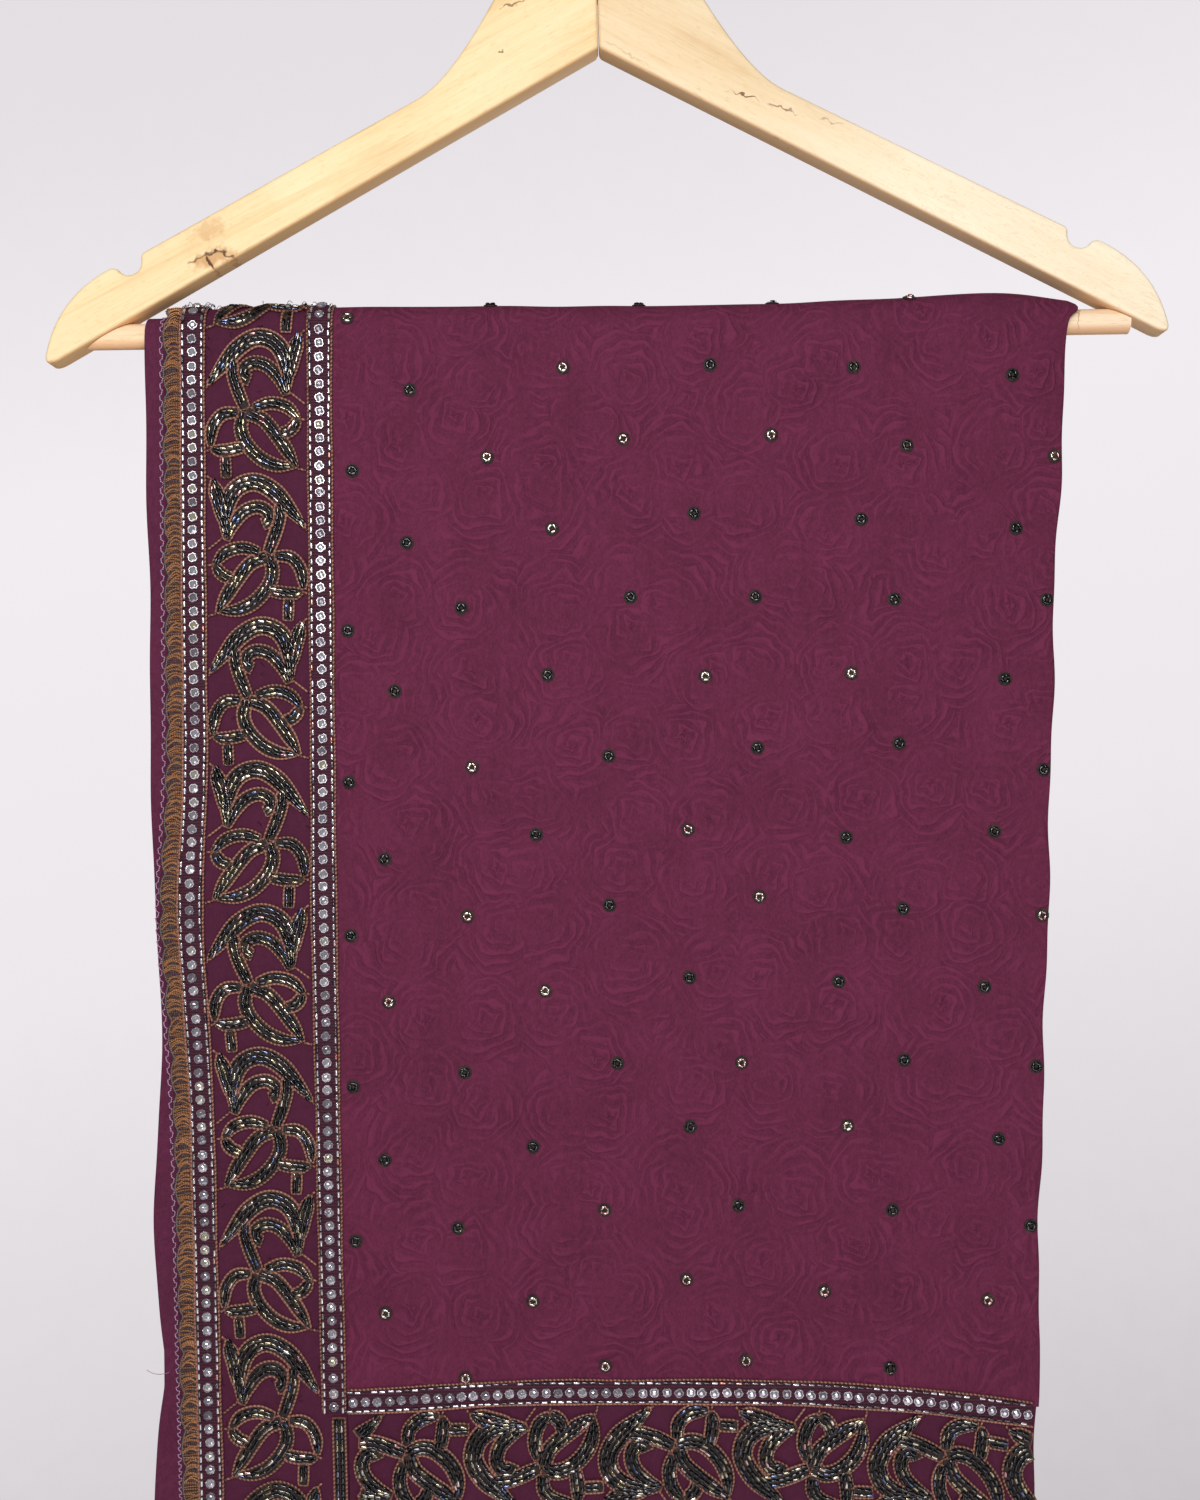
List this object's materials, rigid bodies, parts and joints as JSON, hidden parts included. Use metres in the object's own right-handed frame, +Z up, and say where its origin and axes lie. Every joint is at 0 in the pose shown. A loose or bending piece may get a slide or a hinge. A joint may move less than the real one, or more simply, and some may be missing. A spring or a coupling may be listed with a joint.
{
  "type": "embellished saree on a wooden hanger",
  "caption": "Folded georgette saree with a beaded cutwork border, hung over the bar of a wooden clothes hanger with a wire hook.",
  "frame": {"origin": "inside crown of the hanger's hook, where the rail carries it", "axes": "+Z up, the front faces -Y, the beaded long edge is at -X"},
  "size_m": [0.4457, 0.0254, 0.7471],
  "materials": {
    "birch": "smooth pale birch, sanded, thin matt varnish",
    "dowel": "plain turned dowel, unvarnished",
    "hook_steel": "bright plated wire",
    "georgette": "wine georgette with a self-coloured embossed rose, matt",
    "backing": "plain wine georgette, matt",
    "cutwork_net": "dark embroidered ground under black bugle beads",
    "row_braid": "narrow wine braid under the stones",
    "bronze_thread": "bronze satin thread, buttonhole stitch",
    "copper_cord": "fine twisted copper thread",
    "bugle_bead": "black glass with an iris sheen",
    "silver_bead": "silver-lined glass",
    "rhinestone": "faceted crystal, foil backed",
    "stone_cup": "stamped silver-plated cup"
  },
  "bodies": {
    "root": {"hanger_arm_left": "birch", "hanger_arm_right": "birch", "hanger_bar": "dowel", "hanger_hook": "hook_steel", "saree_inner_plies": "georgette", "saree_field_front": "georgette", "saree_field_over_bar": "georgette", "saree_field_back": "georgette", "border_backing_front": "backing", "border_backing_over_bar": "backing", "border_backing_back": "backing", "border_backing_hem": "backing", "cutwork_front": "cutwork_net", "cutwork_over_bar": "cutwork_net", "cutwork_back": "cutwork_net", "cutwork_hem": "cutwork_net", "stone_row_inner_side": "row_braid", "stone_row_inner_hem": "row_braid", "stone_row_outer_side": "row_braid", "stone_row_outer_hem": "row_braid", "scallop_edging_side": "bronze_thread", "scallop_edging_hem": "bronze_thread"}
  },
  "joints": []
}
